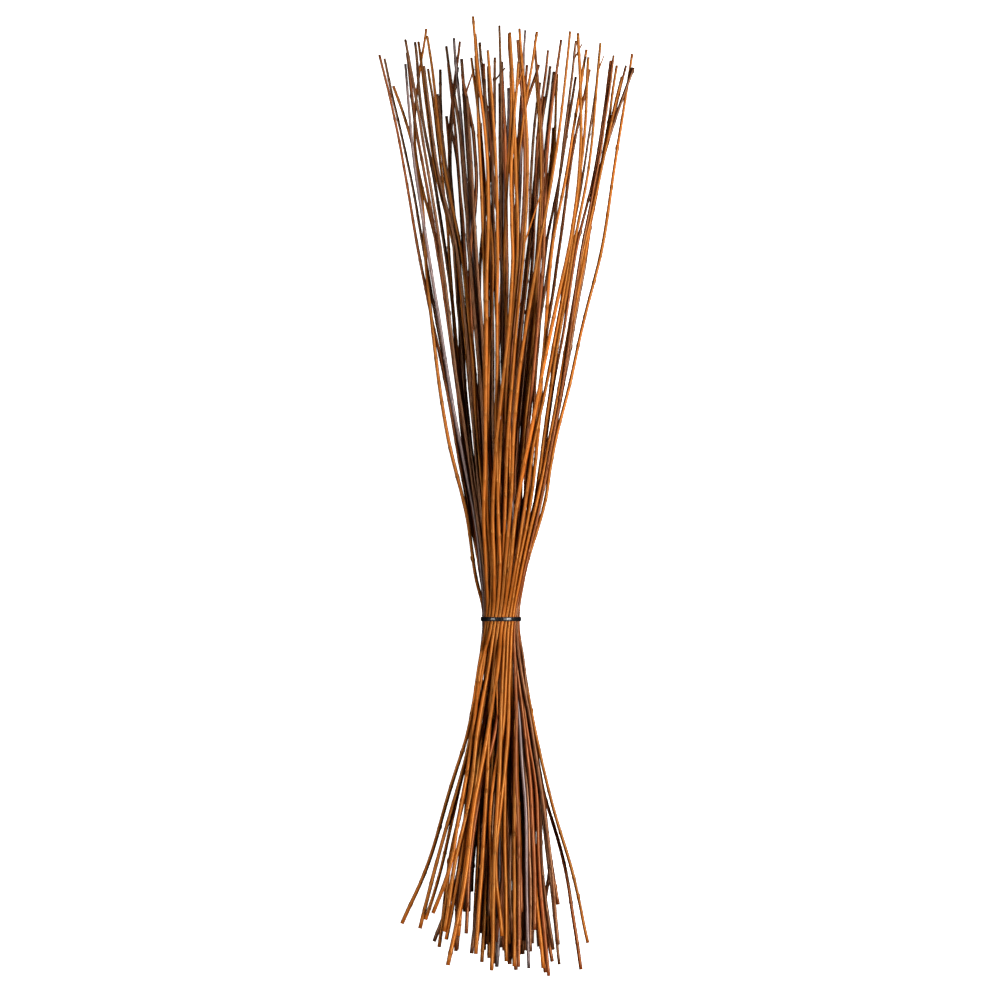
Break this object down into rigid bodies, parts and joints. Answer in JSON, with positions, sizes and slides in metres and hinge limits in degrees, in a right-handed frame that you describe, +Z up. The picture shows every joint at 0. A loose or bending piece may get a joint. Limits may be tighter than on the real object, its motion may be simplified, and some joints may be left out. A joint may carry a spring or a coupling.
{
  "type": "bundle of twigs",
  "caption": "Bunch of long thin brown willow twigs, gathered at a narrow waist by a black cable tie and flaring to cut tips and butts, lying on its side.",
  "frame": {"origin": "middle of the underside of the whole bundle, on the surface it lies on", "axes": "+Y along the twigs, from their cut butts to their tips; +X across the bundle, to the right seen from above; +Z up"},
  "size_m": [0.2954, 1.1004, 0.1566],
  "materials": {
    "bark_amber": "satin, steamed willow bark",
    "bark_russet": "satin, steamed willow bark",
    "bark_umber": "dull, dark willow bark",
    "bark_ash": "dull, weathered greyish willow bark",
    "nylon": "moulded black nylon"
  },
  "bodies": {
    "root": {"twig_01": "bark_amber", "twig_02": "bark_russet", "twig_03": "bark_umber", "twig_04": "bark_ash", "twig_05": "bark_russet", "twig_06": "bark_amber", "twig_07": "bark_umber", "twig_08": "bark_russet", "twig_09": "bark_russet", "twig_10": "bark_amber", "twig_11": "bark_umber", "twig_12": "bark_umber", "twig_13": "bark_amber", "twig_14": "bark_russet", "twig_15": "bark_amber", "twig_16": "bark_umber", "twig_17": "bark_russet", "twig_18": "bark_amber", "twig_19": "bark_russet", "twig_20": "bark_amber", "twig_21": "bark_umber", "twig_22": "bark_umber", "twig_23": "bark_ash", "twig_24": "bark_amber", "twig_25": "bark_amber", "twig_26": "bark_russet", "twig_27": "bark_umber", "twig_28": "bark_amber", "twig_29": "bark_amber", "twig_30": "bark_umber", "twig_31": "bark_umber", "twig_32": "bark_russet", "twig_33": "bark_amber", "twig_34": "bark_russet", "twig_35": "bark_amber", "twig_36": "bark_amber", "twig_37": "bark_umber", "twig_38": "bark_russet", "twig_39": "bark_ash", "twig_40": "bark_russet", "twig_41": "bark_umber", "twig_42": "bark_amber", "twig_43": "bark_russet", "twig_44": "bark_amber", "twig_45": "bark_russet", "twig_46": "bark_amber", "twig_47": "bark_umber", "twig_48": "bark_russet", "twig_49": "bark_amber", "twig_50": "bark_russet", "twig_51": "bark_umber", "twig_52": "bark_amber", "twig_53": "bark_amber", "twig_54": "bark_russet", "twig_55": "bark_amber", "twig_56": "bark_russet", "twig_57": "bark_umber", "twig_58": "bark_amber", "cable_tie": "nylon"}
  },
  "joints": []
}
